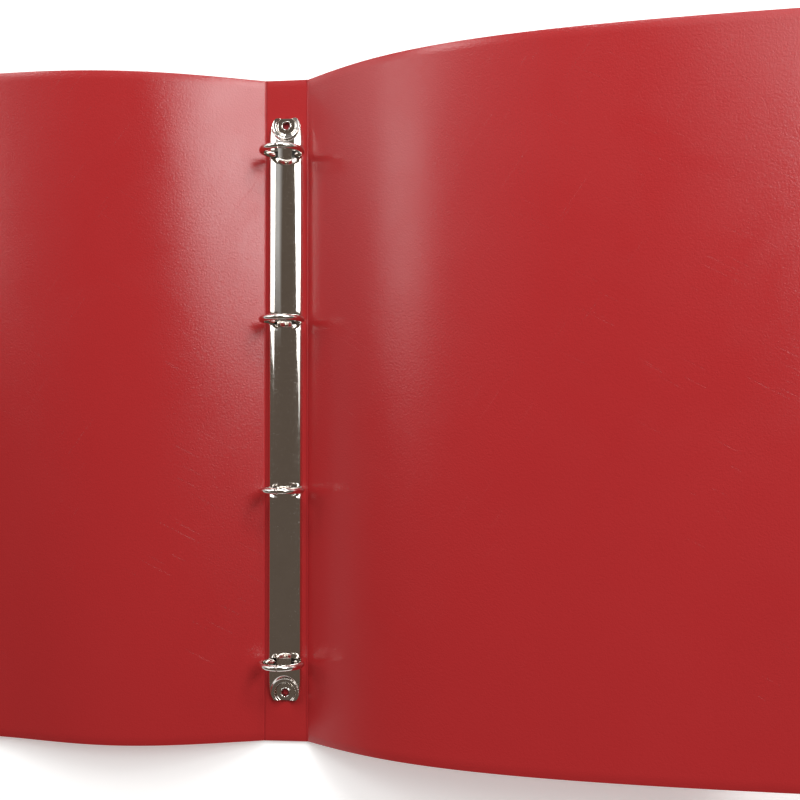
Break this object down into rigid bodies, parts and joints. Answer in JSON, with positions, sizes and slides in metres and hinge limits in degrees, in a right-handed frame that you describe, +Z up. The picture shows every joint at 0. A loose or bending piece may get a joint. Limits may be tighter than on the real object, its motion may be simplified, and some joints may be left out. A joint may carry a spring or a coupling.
{
  "type": "ring binder",
  "caption": "A4 ring binder lying open: two bowed red plastic covers hinged on creases to a narrow spine that carries a metal O-ring mechanism.",
  "frame": {"origin": "centre of the spine's outer face, 0.65 mm above the table", "axes": "+X across the open binder towards the back cover, +Y along the spine towards its top end, +Z up out of the open binder's inside"},
  "size_m": [0.477, 0.315, 0.064],
  "materials": {
    "sheet": "fine-grained red polypropylene sheet",
    "rivet_cap": "smooth red cap",
    "nickel": "bright nickel plate on steel",
    "blade_steel": "plated spring steel, unpolished"
  },
  "bodies": {
    "spine_assembly": {"spine_panel": "sheet", "front_hinge": "sheet", "back_hinge": "sheet", "ring_casing": "nickel", "top_eyelet": "nickel", "bottom_eyelet": "nickel", "top_rivet_cap": "rivet_cap", "bottom_rivet_cap": "rivet_cap"},
    "front_cover": {"front_cover": "sheet"},
    "back_cover": {"back_cover": "sheet"},
    "front_ring_set": {"front_blade": "blade_steel", "front_half_ring_1": "nickel", "front_half_ring_2": "nickel", "front_half_ring_3": "nickel", "front_half_ring_4": "nickel"},
    "back_ring_set": {"back_blade": "blade_steel", "back_half_ring_1": "nickel", "back_half_ring_2": "nickel", "back_half_ring_3": "nickel", "back_half_ring_4": "nickel"}
  },
  "joints": [
    {"name": "front_cover_hinge", "type": "hinge", "parent": "spine_assembly", "child": "front_cover", "pos_m": [-0.0109, 0, 0.0004], "axis": [0, 1, 0], "range_deg": [-88, 50]},
    {"name": "back_cover_hinge", "type": "hinge", "parent": "spine_assembly", "child": "back_cover", "pos_m": [0.0109, 0, 0.0004], "axis": [0, -1, 0], "range_deg": [-104, 34]},
    {"name": "front_ring_hinge", "type": "hinge", "parent": "spine_assembly", "child": "front_ring_set", "pos_m": [-0.00685, 0, 0.0025], "axis": [0, -1, 0], "range_deg": [0, 14]},
    {"name": "back_ring_hinge", "type": "hinge", "parent": "spine_assembly", "child": "back_ring_set", "pos_m": [0.00685, 0, 0.0025], "axis": [0, 1, 0], "range_deg": [0, 14]}
  ],
  "couplings": [
    {"joint": "back_ring_hinge", "follows": "front_ring_hinge", "ratio": 1}
  ]
}
